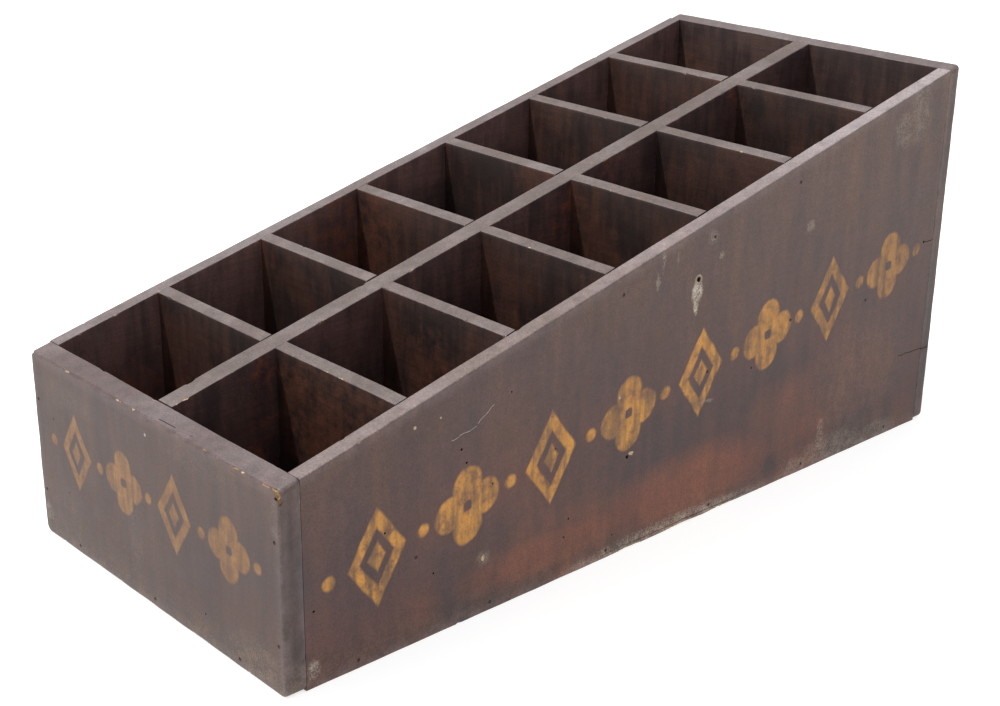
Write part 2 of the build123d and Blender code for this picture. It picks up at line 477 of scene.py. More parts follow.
# %% Colours of the paint, the stain and the wood
side_tones = linear("#3a2727"), linear("#41281f"), linear("#723d26")
left_tones = linear("#3a2727"), linear("#41281f"), linear("#563325")
front_tones = linear("#372726"), linear("#402b21"), linear("#3f281d")
right_top = linear("#5a4c48")
left_top = linear("#514645")
front_top = linear("#463837")
inner_top = linear("#4c403c")
# The centre board and the side boards get a lighter copy of the walnut stain. On their inner faces that face
# right, this lighter tone is painted light from the right, which the even sky and the lamp don't give. The
# cross boards and the rear, whose inner faces face the front, keep the darker stain.
side_stains_with_painted_light = linear("#3a2a2b"), linear("#523b38"), linear("#623625")
rear_stains = linear("#261918"), linear("#3b2924"), linear("#4d2a1c")
centre_stains_with_painted_light = linear("#2f2022"), linear("#452f2d"), linear("#703822")
cross_stains = linear("#1e1210"), linear("#351f18"), linear("#472618")
hand_dust = linear("#968d90")
foot_dust = linear("#a09178")
dark_patch_tone = linear("#1b1820")
plaster = linear("#b9af9f")
worn_pine = linear("#7d6a55")
old_gold = linear("#a67228")
worn_gold = linear("#77532b")
sun_bleach = linear("#958070")

# %% [markdown]
# Every pattern has a real size: the paint clouds are as wide as a hand, the brush marks a few
# millimetres wide and very long, and the specks as fine as sawdust. A noise texture draws
# features about one unit wide, so a Mapping node that divides by the size in metres gives them.

# %% One pattern at a real size
def pattern(tree, place, width, stretch=1.0, along=0, detail=2.0, roughness=0.55, shift=0.0):
    """Noise with features of this width, drawn out along one axis."""
    scale = [1 / width] * 3
    scale[along] = 1 / (width * stretch)
    sized = add(tree, "ShaderNodeMapping",
                {"Vector": place, "Scale": scale, "Location": (shift, shift, shift)})
    cloud = add(tree, "ShaderNodeTexNoise",
                {"Vector": sized.outputs[0], "Scale": 1.0, "Detail": detail, "Roughness": roughness})
    return cloud.outputs[0]


# %% [markdown]
# A hand with a brush doesn't draw a true line. The painted shapes and the smears are laid out on
# coordinates that a noise pushes a millimetre or two this way and that.

# %% Shaky coordinates
def shaky(tree, place, wobble, wobble_length):
    """Object coordinates that wander by up to about half the wobble."""
    noise_texture = add(tree, "ShaderNodeTexNoise",
                        {"Vector": place, "Scale": 1 / wobble_length, "Detail": 3.0})
    centred = add(tree, "ShaderNodeVectorMath",
                  {0: noise_texture.outputs[1], 1: (0.5, 0.5, 0.5)}, operation="SUBTRACT")
    pushed = add(tree, "ShaderNodeVectorMath",
                 {0: centred.outputs[0], 1: (wobble, wobble, wobble), 2: place}, operation="MULTIPLY_ADD")
    return pushed.outputs[0]


# %% [markdown]
# The painted ornament is a plain row of lozenges and four-petalled flowers with dots between
# them, in old gold, which climbs with the top. It could be a thin mesh on the board, but real
# paint has no thickness to see, so it's a mask in the paint itself. Each shape is a rule about
# distances, and a ping-pong node repeats it: a lozenge is where two ways from its middle add up
# to less than its half width, and a petal is a circle that the folded coordinates repeat.

# %% Rows of painted shapes
lozenge_half_width = 0.31
lozenge_half_height = 0.46
lozenge_hollow = 0.6
lozenge_heart = 0.3
petal_reach = 0.2
petal_radius = 0.165
eye_radius = 0.05
dot_radius = 0.062
brush_edge = 1.0 * mm


def soft_edge(distance, limit):
    """What a Map Range needs to fall from 1 to 0 where the distance passes the limit."""
    return {0: distance, 1: limit + brush_edge, 2: limit - brush_edge}


def ornament(tree, place, along, start, pitch, count, middle, rise):
    """A mask of the painted row: 1 on the gold, 0 beside it. Sizes are shares of the pitch."""
    axes = add(tree, "ShaderNodeSeparateXYZ", {0: shaky(tree, place, 3 * mm, 14 * mm)}).outputs
    first = start + pitch / 2
    run = add(tree, maths, {0: axes[along], 1: first}, operation="SUBTRACT").outputs[0]
    across = add(tree, maths, {0: run, 1: pitch / 2}, operation="PINGPONG").outputs[0]
    line = add(tree, maths, {0: run, 1: rise, 2: middle + rise * first}, operation="MULTIPLY_ADD").outputs[0]
    off_line = add(tree, maths, {0: axes[2], 1: line}, operation="SUBTRACT").outputs[0]
    up = add(tree, maths, {0: off_line}, operation="ABSOLUTE").outputs[0]

    flat = lozenge_half_width / lozenge_half_height
    half_width = lozenge_half_width * pitch
    lozenge = add(tree, maths, {0: up, 1: flat, 2: across}, operation="MULTIPLY_ADD").outputs[0]
    outline = add(tree, ranged, soft_edge(lozenge, half_width)).outputs[0]
    hollow = add(tree, ranged, soft_edge(lozenge, lozenge_hollow * half_width)).outputs[0]
    heart = add(tree, ranged, soft_edge(lozenge, lozenge_heart * half_width)).outputs[0]
    ring = add(tree, maths, {0: outline, 1: hollow}, operation="SUBTRACT").outputs[0]
    ring = add(tree, maths, {0: ring, 1: heart}, operation="ADD").outputs[0]

    longer = add(tree, maths, {0: across, 1: up}, operation="MAXIMUM").outputs[0]
    shorter = add(tree, maths, {0: across, 1: up}, operation="MINIMUM").outputs[0]
    folded = add(tree, "ShaderNodeCombineXYZ", {0: longer, 1: shorter}).outputs[0]
    from_petal = add(tree, "ShaderNodeVectorMath", {0: folded, 1: (petal_reach * pitch, 0, 0)},
                     operation="DISTANCE").outputs[1]
    from_eye = add(tree, "ShaderNodeVectorMath", {0: folded}, operation="LENGTH").outputs[1]
    petals = add(tree, ranged, soft_edge(from_petal, petal_radius * pitch)).outputs[0]
    eye = add(tree, ranged, soft_edge(from_eye, eye_radius * pitch)).outputs[0]
    flower = add(tree, maths, {0: petals, 1: eye}, operation="SUBTRACT", use_clamp=True).outputs[0]

    cell = add(tree, maths, {0: run, 1: 1 / pitch, 2: 0.5}, operation="MULTIPLY_ADD").outputs[0]
    number = add(tree, maths, {0: cell}, operation="FLOOR").outputs[0]
    is_flower = add(tree, maths, {0: number, 1: 1.0}, operation="PINGPONG").outputs[0]
    shape = add(tree, mixed, {0: is_flower, 2: ring, 3: flower}).outputs[0]

    to_border = add(tree, maths, {0: pitch / 2, 1: across}, operation="SUBTRACT").outputs[0]
    beside = add(tree, "ShaderNodeCombineXYZ", {0: to_border, 1: up}).outputs[0]
    from_dot = add(tree, "ShaderNodeVectorMath", {0: beside}, operation="LENGTH").outputs[1]
    dots = add(tree, ranged, soft_edge(from_dot, dot_radius * pitch)).outputs[0]

    half_row = count * pitch / 2
    from_middle = add(tree, maths, {0: axes[along], 1: start + half_row}, operation="SUBTRACT").outputs[0]
    from_middle = add(tree, maths, {0: from_middle}, operation="ABSOLUTE").outputs[0]
    in_row = add(tree, ranged, soft_edge(from_middle, half_row)).outputs[0]
    shape = add(tree, maths, {0: shape, 1: in_row}, operation="MULTIPLY").outputs[0]
    near_row = add(tree, ranged, soft_edge(from_middle, half_row + 2 * dot_radius * pitch)).outputs[0]
    dots = add(tree, maths, {0: dots, 1: near_row}, operation="MULTIPLY").outputs[0]
    return add(tree, maths, {0: shape, 1: dots}, operation="MAXIMUM").outputs[0]


# %% [markdown]
# Plaster, glue and dust have left pale smears. Each is an ellipse of a real size at its real
# place, and the shaky coordinates and the specks break it up. The way across the board is
# scaled to nothing, so a smear doesn't care how deep the surface lies.

# %% Pale smears
Smear = namedtuple("Smear", "middle reach strength")


def smeared(tree, place, along, smears):
    """A mask of all the smears of a board, in millimetres along it and up."""
    wandering = shaky(tree, place, 5 * mm, 5 * mm)
    total = None
    for smear in smears:
        scale = [0.0, 0.0, 1 / (smear.reach[1] * mm)]
        scale[along] = 1 / (smear.reach[0] * mm)
        shift = [0.0, 0.0, -smear.middle[1] / smear.reach[1]]
        shift[along] = -smear.middle[0] / smear.reach[0]
        near = add(tree, "ShaderNodeMapping", {"Vector": wandering, "Location": shift, "Scale": scale})
        way = add(tree, "ShaderNodeVectorMath", {0: near.outputs[0]}, operation="LENGTH")
        mask = add(tree, ranged, {0: way.outputs[1], 1: 1.15, 2: 0.55, 4: smear.strength})
        total = mask.outputs[0] if total is None else add(
            tree, maths, {0: total, 1: mask.outputs[0]}, operation="MAXIMUM").outputs[0]
    return total


# %% [markdown]
# The finish is built like the real one, and each step below is one layer of it. First come the
# things that every layer reads: where a point lies, which way it faces, the marks on the board,
# and noises of seven sizes. The masks say which layer shows: the handled top, the bare underside,
# the stained inside and the painted outside.

# %% What the layers read
Surface = namedtuple("Surface", "place along axes arris bare on_top below end_grain stained outside "
                                "low_down clouds hand_clouds bands brushed runs blotches specks")


def read_surface(tree, along):
    """The masks and noises that the layers of a finish share; along is the way of the grain."""
    place = add(tree, "ShaderNodeTexCoord").outputs["Object"]
    normal = add(tree, "ShaderNodeNewGeometry").outputs["Normal"]
    facing = add(tree, "ShaderNodeSeparateXYZ", {0: normal}).outputs
    axes = add(tree, "ShaderNodeSeparateXYZ", {0: place}).outputs
    arris, inside, bare = [add(tree, "ShaderNodeAttribute", attribute_name=name).outputs["Fac"]
                           for name in ("arris", "inside", "bare")]
    on_top = add(tree, ranged, {0: facing[2], 1: 0.5, 2: 0.65}).outputs[0]
    below = add(tree, ranged, {0: facing[2], 1: -0.6, 2: -0.8}).outputs[0]
    toward_end = add(tree, maths, {0: facing[along]}, operation="ABSOLUTE").outputs[0]
    end_grain = add(tree, ranged, {0: toward_end, 1: 0.7, 2: 0.95}).outputs[0]
    stained = add(tree, maths, {0: inside, 1: on_top}, operation="SUBTRACT", use_clamp=True).outputs[0]
    outside = add(tree, maths, {0: 1.0, 1: stained}, operation="SUBTRACT").outputs[0]
    outside = add(tree, maths, {0: outside, 1: on_top}, operation="SUBTRACT", use_clamp=True).outputs[0]
    low_down = add(tree, ranged, {0: axes[2], 1: 135 * mm, 2: 30 * mm, 4: 0.85}).outputs[0]
    return Surface(
        place, along, axes, arris, bare, on_top, below, end_grain, stained, outside, low_down,
        clouds=pattern(tree, place, 55 * mm, detail=4.0),
        hand_clouds=pattern(tree, place, 130 * mm, detail=3.0, shift=3.0),
        bands=pattern(tree, place, 22 * mm, stretch=5, along=2, detail=4.0, shift=9.0),
        brushed=pattern(tree, place, 2.2 * mm, stretch=28, along=along, detail=3.0),
        runs=pattern(tree, place, 7 * mm, stretch=6, along=2, detail=3.0, shift=5.0),
        blotches=pattern(tree, place, 9 * mm, detail=4.0, roughness=0.65, shift=7.0),
        specks=pattern(tree, place, 1.1 * mm, detail=1.0),
    )


# %% [markdown]
# The paint has cool and warm clouds. It is redder low down in the middle of the length, bleached
# higher up, and mottled all over, and a few places are made darker.

# %% The old paint
def old_paint(tree, on, tones, dark_patches, reds):
    """The colour of the paint before wear and dust."""
    cool_tone, warm_tone, low_tone = tones
    share = add(tree, maths, {0: on.bands, 1: on.clouds}, operation="ADD").outputs[0]
    share = add(tree, ranged, {0: share, 1: 0.75, 2: 1.25}).outputs[0]
    paint = add(tree, mixed, {0: share, 6: cool_tone, 7: warm_tone}, data_type="RGBA").outputs[2]

    red_share = add(tree, ranged, {0: on.hand_clouds, 1: 0.4, 2: 0.58}).outputs[0]
    low_red = add(tree, maths, {0: on.low_down, 1: red_share}, operation="MULTIPLY").outputs[0]
    from_middle = add(tree, maths, {0: on.axes[1]}, operation="ABSOLUTE").outputs[0]
    mid_length = add(tree, ranged, {0: from_middle, 1: 90 * mm, 2: 260 * mm, 3: 1.0, 4: 0.3}).outputs[0]
    low_red = add(tree, maths, {0: low_red, 1: mid_length}, operation="MULTIPLY").outputs[0]
    if reds:
        red_patches = smeared(tree, on.place, on.along, reds)
        low_red = add(tree, maths, {0: low_red, 1: red_patches}, operation="MAXIMUM").outputs[0]
    paint = add(tree, mixed, {0: low_red, 6: paint, 7: low_tone}, data_type="RGBA").outputs[2]

    bleached = add(tree, ranged, {0: on.axes[2], 1: 90 * mm, 2: 290 * mm, 4: 0.14}).outputs[0]
    paint = add(tree, mixed, {0: bleached, 6: paint, 7: sun_bleach}, data_type="RGBA").outputs[2]
    mottle = add(tree, maths, {0: on.blotches, 1: on.bands}, operation="ADD").outputs[0]
    mottle = add(tree, ranged, {0: mottle, 1: 0.75, 2: 1.25, 3: 0.8, 4: 1.2}).outputs[0]
    paint = add(tree, mixed, {0: 1.0, 6: paint, 7: mottle}, data_type="RGBA",
                blend_type="MULTIPLY").outputs[2]
    if dark_patches:
        dark_patch_share = smeared(tree, on.place, on.along, dark_patches)
        paint = add(tree, mixed, {0: dark_patch_share, 6: paint, 7: dark_patch_tone}, data_type="RGBA").outputs[2]
    return paint


# %% [markdown]
# The gold is rubbed thin in blotches and flecked off in specks. On the front, wet cloths have
# washed it away in runs, and toward the rear of the sides it has faded.

# %% The gold over it
def gilded(tree, on, paint, row, gold_left, gold_runs):
    """The paint with a row of gold ornament over it."""
    worn = add(tree, maths, {0: on.specks, 1: 0.55, 2: on.blotches}, operation="MULTIPLY_ADD").outputs[0]
    worn = add(tree, maths, {0: on.runs, 1: gold_runs, 2: worn}, operation="MULTIPLY_ADD").outputs[0]
    kept = add(tree, ranged, {0: worn, 1: 0.97 + 0.55 * gold_runs, 2: 0.72 + 0.4 * gold_runs,
                              3: 0.2, 4: gold_left}).outputs[0]
    rear_fade = add(tree, ranged, {0: on.axes[1], 1: 60 * mm, 2: 300 * mm, 3: 1.0, 4: 0.55}).outputs[0]
    mask = ornament(tree, on.place, **row)
    mask = add(tree, maths, {0: mask, 1: kept}, operation="MULTIPLY").outputs[0]
    mask = add(tree, maths, {0: mask, 1: rear_fade}, operation="MULTIPLY").outputs[0]
    share = add(tree, ranged, {0: on.runs, 1: 0.36, 2: 0.56}).outputs[0]
    gold = add(tree, mixed, {0: share, 6: worn_gold, 7: old_gold}, data_type="RGBA").outputs[2]
    return add(tree, mixed, {0: mask, 6: paint, 7: gold}, data_type="RGBA").outputs[2]


# %% [markdown]
# Inside, the walnut stain lies in soft dark and brown patches with runs, and where it is rubbed
# away, most of all low down, the red wood shows.

# %% The stain inside
def walnut_stain(tree, on, stains):
    """The colour of the stained inner faces."""
    dark_stain, brown_stain, red_stain = stains
    share = add(tree, maths, {0: on.runs, 1: 0.5, 2: on.clouds}, operation="MULTIPLY_ADD").outputs[0]
    share = add(tree, ranged, {0: share, 1: 0.62, 2: 0.86}).outputs[0]
    stain = add(tree, mixed, {0: share, 6: dark_stain, 7: brown_stain}, data_type="RGBA").outputs[2]
    rubbed = add(tree, maths, {0: on.blotches, 1: 0.5, 2: on.hand_clouds},
                 operation="MULTIPLY_ADD").outputs[0]
    rubbed = add(tree, maths, {0: on.low_down, 1: 0.1, 2: rubbed}, operation="MULTIPLY_ADD").outputs[0]
    rubbed = add(tree, ranged, {0: rubbed, 1: 0.84, 2: 0.98, 4: 0.75}).outputs[0]
    return add(tree, mixed, {0: rubbed, 6: stain, 7: red_stain}, data_type="RGBA").outputs[2]


# %% [markdown]
# The top faces up, so it has caught the most dust, in clouds, and more of it toward the rear.

# %% The handled top
def handled_top(tree, on, top_tone, rear_dust):
    """The colour of the sloping top."""
    rear_grey = add(tree, ranged, {0: on.axes[1], 1: -100 * mm, 2: 330 * mm, 4: rear_dust}).outputs[0]
    grey = add(tree, ranged, {0: on.clouds, 1: 0.42, 2: 0.62, 4: 0.12}).outputs[0]
    grey = add(tree, maths, {0: rear_grey, 1: grey}, operation="ADD").outputs[0]
    top = add(tree, mixed, {0: grey, 6: top_tone, 7: hand_dust}, data_type="RGBA").outputs[2]
    mottle = add(tree, ranged, {0: on.blotches, 1: 0.3, 2: 0.7, 3: 0.8, 4: 1.2}).outputs[0]
    return add(tree, mixed, {0: 1.0, 6: top, 7: mottle}, data_type="RGBA",
               blend_type="MULTIPLY").outputs[2]


# %% [markdown]
# Grain, runs and specks darken and lighten every layer alike. Each is a noise turned into a tone
# around 1 that multiplies the colour. The stain shows the grain well and the paint hides most of
# it. End grain drank more paint and stayed darker.

# %% Grain, runs and specks
def toned(tree, on, colour):
    """The colour with the grain, the runs and the specks in it."""
    grain_shown = add(tree, ranged, {0: on.stained, 3: 0.25, 4: 0.8}).outputs[0]
    for shown, cloud, low, high, dark, light in (
        (grain_shown, on.brushed, 0.3, 0.7, 0.8, 1.15),
        (1.0, on.runs, 0.3, 0.7, 0.9, 1.1),
        (1.0, on.specks, 0.3, 0.7, 0.74, 1.26),
        (on.end_grain, on.runs, 0.35, 0.65, 0.6, 0.95),
    ):
        tone = add(tree, ranged, {0: cloud, 1: low, 2: high, 3: dark, 4: light}).outputs[0]
        colour = add(tree, mixed, {0: shown, 6: colour, 7: tone}, data_type="RGBA",
                     blend_type="MULTIPLY").outputs[2]
    return colour


# %% [markdown]
# Hands have left a faint grey band under the arris and specks right along it. Counter dust clings
# to the foot, and it and the smears are broken into specks.

# %% Grey, dust and smears
def dusted(tree, on, colour, foot_grey, smears):
    """The colour with hand grey, foot dust and smears over it."""
    rim = add(tree, maths, {0: on.specks, 1: 0.5, 2: on.arris}, operation="MULTIPLY_ADD").outputs[0]
    rim = add(tree, ranged, {0: rim, 1: 1.05, 2: 1.3, 4: 0.22}).outputs[0]
    band = add(tree, maths, {0: on.arris, 1: 0.1, 2: 0.02}, operation="MULTIPLY_ADD").outputs[0]
    grey = add(tree, maths, {0: rim, 1: band}, operation="MAXIMUM").outputs[0]
    grey_break = add(tree, ranged, {0: on.blotches, 1: 0.3, 2: 0.7, 3: 0.4, 4: 1.6}).outputs[0]
    foot = add(tree, ranged, {0: on.axes[2], 1: 26 * mm, 2: 1 * mm, 4: foot_grey}).outputs[0]
    dust_break = add(tree, maths, {0: on.specks, 1: 0.8, 2: on.blotches},
                     operation="MULTIPLY_ADD").outputs[0]
    dust_break = add(tree, ranged, {0: dust_break, 1: 0.78, 2: 1.15, 3: 0.15, 4: 1.4}).outputs[0]
    layers = [(grey, grey_break, hand_dust), (foot, dust_break, foot_dust)]
    if smears:
        layers.append((smeared(tree, on.place, on.along, smears), dust_break, plaster))
    for mask, broken, tone in layers:
        mask = add(tree, maths, {0: mask, 1: on.outside}, operation="MULTIPLY").outputs[0]
        mask = add(tree, maths, {0: mask, 1: broken}, operation="MULTIPLY").outputs[0]
        colour = add(tree, mixed, {0: mask, 6: colour, 7: tone}, data_type="RGBA").outputs[2]
    return colour


# %% [markdown]
# Now the layers go over each other, each by its mask, and last come the chips that go back down
# to pine. Oil paint of this age is matt with a faint, uneven sheen, and a fine bump of grain and
# grit breaks it up.

# %% Build up an old painted finish
def weathered(name, along, tones, top_tone, stains, row=None, gold_left=1.0, gold_runs=0.0, smears=(),
              dark_patches=(), reds=(), foot_grey=0.1, rear_dust=0.0):
    """Old oil paint outside and walnut stain inside, with wear; along is the way of the grain."""
    material, tree, shader = new_material(name)
    on = read_surface(tree, along)
    colour = old_paint(tree, on, tones, dark_patches, reds)
    if row is not None:
        colour = gilded(tree, on, colour, row, gold_left, gold_runs)
    for mask, layer in (
        (on.stained, walnut_stain(tree, on, stains)),
        (on.on_top, handled_top(tree, on, top_tone, rear_dust)),
        (on.below, worn_pine),
    ):
        colour = add(tree, mixed, {0: mask, 6: colour, 7: layer}, data_type="RGBA").outputs[2]
    colour = toned(tree, on, colour)
    colour = dusted(tree, on, colour, foot_grey, smears)

    chip_edge = add(tree, maths, {0: on.specks, 1: 0.6, 2: on.bare}, operation="MULTIPLY_ADD").outputs[0]
    chipped = add(tree, ranged, {0: chip_edge, 1: 0.6, 2: 0.8}).outputs[0]
    colour = add(tree, mixed, {0: chipped, 6: colour, 7: worn_pine}, data_type="RGBA").outputs[2]
    tree.links.new(colour, shader.inputs["Base Color"])

    gloss = add(tree, ranged, {0: on.blotches, 1: 0.3, 2: 0.7, 3: 0.48, 4: 0.62}).outputs[0]
    tree.links.new(gloss, shader.inputs["Roughness"])
    shader.inputs["Specular IOR Level"].default_value = 0.35
    relief = add(tree, maths, {0: on.brushed, 1: on.specks}, operation="ADD").outputs[0]
    bump = add(tree, "ShaderNodeBump", {"Height": relief, "Strength": 0.4, "Distance": 0.15 * mm})
    tree.links.new(bump.outputs[0], shader.inputs["Normal"])
    return material


# %% [markdown]
# The smears, the darker patches and the redder patches that the photograph shows on the right side
# and the front are put at their places. The left side and the rear aren't seen, so they get a few
# smears of the same kind.

# %% Where the smears are
right_smears = (
    Smear((28.5, 181), (5.5, 9), 0.65),
    Smear((27.5, 171), (2.5, 8), 0.5),
    Smear((41.9, 218.5), (6.0, 6.0), 0.14),
    Smear((-8, 211), (1.8, 8), 0.2),
    Smear((-13, 197), (1.8, 7), 0.22),
    Smear((6, 209), (1.6, 6), 0.2),
    Smear((52.7, 203), (3, 3), 0.16),
    Smear((262.7, 260.4), (13, 17), 0.1),
    Smear((283, 277), (15, 32), 0.1),
    Smear((153.2, 203.8), (6, 5), 0.14),
    Smear((45, 93), (8, 1.6), 0.2),
    Smear((-171.6, 41.5), (6, 6), 0.12),
    Smear((-309, 12.6), (5, 7), 0.45),
    Smear((8, 2), (100, 9), 0.34),
    Smear((155, 6), (20, 9), 0.14),
    Smear((187, 22), (5, 18), 0.26),
    Smear((205, 10), (42, 14), 0.13),
    Smear((258, 6), (32, 11), 0.13),
    Smear((235, 62), (70, 60), 0.035),
)
front_smears = (
    Smear((-141.3, 18.5), (7, 7), 0.16),
    Smear((-100, 118), (45, 10), 0.03),
    Smear((-115, 30), (30, 26), 0.03),
    Smear((-20, 45), (10, 30), 0.035),
    Smear((120, 15), (34, 18), 0.05),
    Smear((60, 127), (50, 8), 0.025),
    Smear((143, 120), (5, 14), 0.05),
)
# Places where the paint is made darker.
right_dark_patches = (
    Smear((-286, 45), (75, 60), 0.28),
    Smear((-250, 125), (40, 30), 0.1),
    Smear((126, 15), (9, 13), 0.5),
    Smear((268, 130), (14, 40), 0.12),
)
right_reds = (
    Smear((35, 30), (95, 30), 0.6),
    Smear((-110, 26), (80, 18), 0.45),
    Smear((150, 60), (60, 30), 0.25),
)
front_dark_patches = (
    Smear((60, 55), (34, 30), 0.16),
    Smear((-110, 80), (26, 34), 0.1),
)
left_smears = (
    Smear((-210, 40), (25, 10), 0.04),
    Smear((60, 150), (5, 26), 0.05),
    Smear((180, 6), (60, 11), 0.16),
    Smear((-60, 4), (80, 9), 0.2),
)
rear_smears = (
    Smear((-90, 70), (10, 40), 0.04),
    Smear((70, 220), (6, 34), 0.05),
    Smear((10, 4), (90, 10), 0.2),
)

# %% Paint and stain the boards
side_row = dict(along=1, start=-296 * mm, pitch=74 * mm, count=8, middle=112 * mm, rise=0.15)
front_row = dict(along=0, start=-124 * mm, pitch=62 * mm, count=4, middle=80 * mm, rise=0.0)
finishes = (
    ("front_paint", [front_board], 0, front_tones, front_top, side_stains_with_painted_light,
     dict(row=front_row, gold_left=0.5, gold_runs=1.0, smears=front_smears, dark_patches=front_dark_patches,
          foot_grey=0.1)),
    ("rear_paint", [rear_board], 0, front_tones, left_top, rear_stains, dict(smears=rear_smears)),
    ("right_side_paint", [side_right], 1, side_tones, right_top, side_stains_with_painted_light,
     dict(row=side_row, gold_left=0.97, smears=right_smears, dark_patches=right_dark_patches, reds=right_reds,
          foot_grey=0.06, rear_dust=0.5)),
    ("left_side_paint", [side_left], 1, left_tones, left_top, side_stains_with_painted_light,
     dict(row=side_row, gold_left=0.9, smears=left_smears)),
    # The centre board's stain is the lighter copy, with painted light from the right in it.
    ("centre_stain_with_painted_light", [centre_board], 1, side_tones, inner_top, centre_stains_with_painted_light, {}),
    ("cross_stain", cross_boards, 0, side_tones, inner_top, cross_stains, {}),
)
for name, boards, along, tones, top_tone, stains, extras in finishes:
    finish = weathered(name, along, tones, top_tone, stains, **extras)
    for board in boards:
        board.data.materials.append(finish)
    print(name, "has", len(finish.node_tree.nodes), "nodes")

# %% [markdown]
# What is cut into the boards later has finishes of its own. A split shows pale pine, brown where
# hands have greased it and red where the stain has soaked in, and the small knocks along the
# arrises are dirty wood. Old holes are dark, some nail pits are filled with putty, and scratches
# are pale. Rust has turned the nails nearly black and rough, with a little orange where it
# flakes, and no metal is left to shine. The bottom is unpainted deal.

# %% Plain finishes of two tones
def plain_finish(name, first, second, width, roughness, relief, along=0, stretch=1.0):
    """A finish of two tones that one pattern mixes and roughens."""
    material, tree, shader = new_material(name)
    place = add(tree, "ShaderNodeTexCoord").outputs["Object"]
    grain = pattern(tree, place, width, stretch=stretch, along=along, detail=3.0)
    share = add(tree, ranged, {0: grain, 1: 0.32, 2: 0.68}).outputs[0]
    tone = add(tree, mixed, {0: share, 6: linear(first), 7: linear(second)}, data_type="RGBA")
    tree.links.new(tone.outputs[2], shader.inputs["Base Color"])
    bump = add(tree, "ShaderNodeBump", {"Height": grain, "Strength": 0.6, "Distance": relief})
    tree.links.new(bump.outputs[0], shader.inputs["Normal"])
    shader.inputs["Roughness"].default_value = roughness
    return material


split_pine = plain_finish("split_pine", "#7d6446", "#b29f80", 0.9 * mm, 0.8, 0.1 * mm)
handled_pine = plain_finish("handled_pine", "#5a4128", "#8c6a3e", 1.0 * mm, 0.65, 0.1 * mm)
red_pine = plain_finish("red_stained_pine", "#4c2e22", "#6e442e", 1.0 * mm, 0.7, 0.1 * mm)
dark_hole = plain_finish("dark_old_hole", "#120d0c", "#241815", 0.8 * mm, 0.9, 0.1 * mm)
putty = plain_finish("nail_putty", "#7c7162", "#a3967f", 0.9 * mm, 0.85, 0.1 * mm)
nail_rust = plain_finish("rusted_cut_iron", "#15100e", "#3a2116", 0.7 * mm, 0.85, 0.1 * mm)
worn_wood = plain_finish("worn_dirty_pine", "#54453b", "#7d6c5b", 1.0 * mm, 0.75, 0.1 * mm)
scored_paint = plain_finish("scored_paint", "#857a76", "#aba098", 1.0 * mm, 0.8, 0.1 * mm)
old_deal = plain_finish("dirty_bottom_deal", "#3b2c25", "#6b5644", 2.6 * mm, 0.8, 0.15 * mm,
                        along=1, stretch=22)

# %% Finish the nails and the bottom board
for node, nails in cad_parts.items():
    if node.startswith("nails_"):
        nails.data.materials.clear()
        nails.data.materials.append(nail_rust)
bottom_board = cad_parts["bottom_board"]
bottom_board.data.materials.clear()
bottom_board.data.materials.append(old_deal)

# %% [markdown]
# ## Joints, nails and knocks
#
# The inner boards cross in half laps: each cross board has a slot from above, the centre board a
# slot from below at each crossing. A slot or hole is cut like on the bench, with a cutter that
# is taken away from the board by a Boolean modifier, which is then applied. The manifold solver
# is a hundred times quicker here than the exact one, but it needs closed meshes that don't run
# into themselves, so cutters are joined in rounds in which none touches another. The modifier
# hands the cutter's own finish to the faces that it cuts, so a chip shows pine and a hole is
# dark. The rings came first, because a hole in a plain face leaves thin triangles.

# %% Take cutters away from a board
def box_cutter(low, high):
    """A plain box between two corners, to be cut away."""
    low, high = Vector(low), Vector(high)
    bpy.ops.object.select_all(action="DESELECT")
    bpy.ops.mesh.primitive_cube_add(size=1, location=(low + high) / 2, scale=high - low)
    bpy.ops.object.transform_apply(location=True, rotation=True, scale=True)
    return bpy.context.object


def box_of(thing):
    """The lowest and the highest corner of an object."""
    spots = [thing.matrix_world @ vertex.co for vertex in thing.data.vertices]
    low = [min(spot[axis] for spot in spots) for axis in (0, 1, 2)]
    high = [max(spot[axis] for spot in spots) for axis in (0, 1, 2)]
    return low, high


def touching(first, second):
    """Whether two boxes overlap."""
    (low, high), (other_low, other_high) = first, second
    return all(low[axis] < other_high[axis] and other_low[axis] < high[axis] for axis in (0, 1, 2))


def cut_away(board, cutters):
    """Cut these cutters out of the board, in rounds of ones that don't touch, and delete them."""
    rounds = []
    for cutter in cutters:
        box = box_of(cutter)
        free = [group for group in rounds if not any(touching(box, other) for other, _ in group)]
        if free:
            free[0].append((box, cutter))
        else:
            rounds.append([(box, cutter)])
    for group in rounds:
        joined = group[0][1]
        bpy.ops.object.select_all(action="DESELECT")
        for _, cutter in group:
            cutter.select_set(True)
        bpy.context.view_layer.objects.active = joined
        if len(group) > 1:
            bpy.ops.object.join()
        change = board.modifiers.new("cut_away", "BOOLEAN")
        change.operation = "DIFFERENCE"
        change.solver = "MANIFOLD"
        change.material_mode = "TRANSFER"
        change.object = joined
        bpy.context.view_layer.objects.active = board
        bpy.ops.object.modifier_apply(modifier=change.name)
        bpy.data.objects.remove(joined)
    print(board.name, "cut in", len(rounds), "rounds")


# %% Half laps
slot_play = 0.9 * mm
centre_slot_play = 0.4 * mm
lap_gap = 0.5 * mm
over = 5 * mm
centre_low, centre_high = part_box("centre_divider")

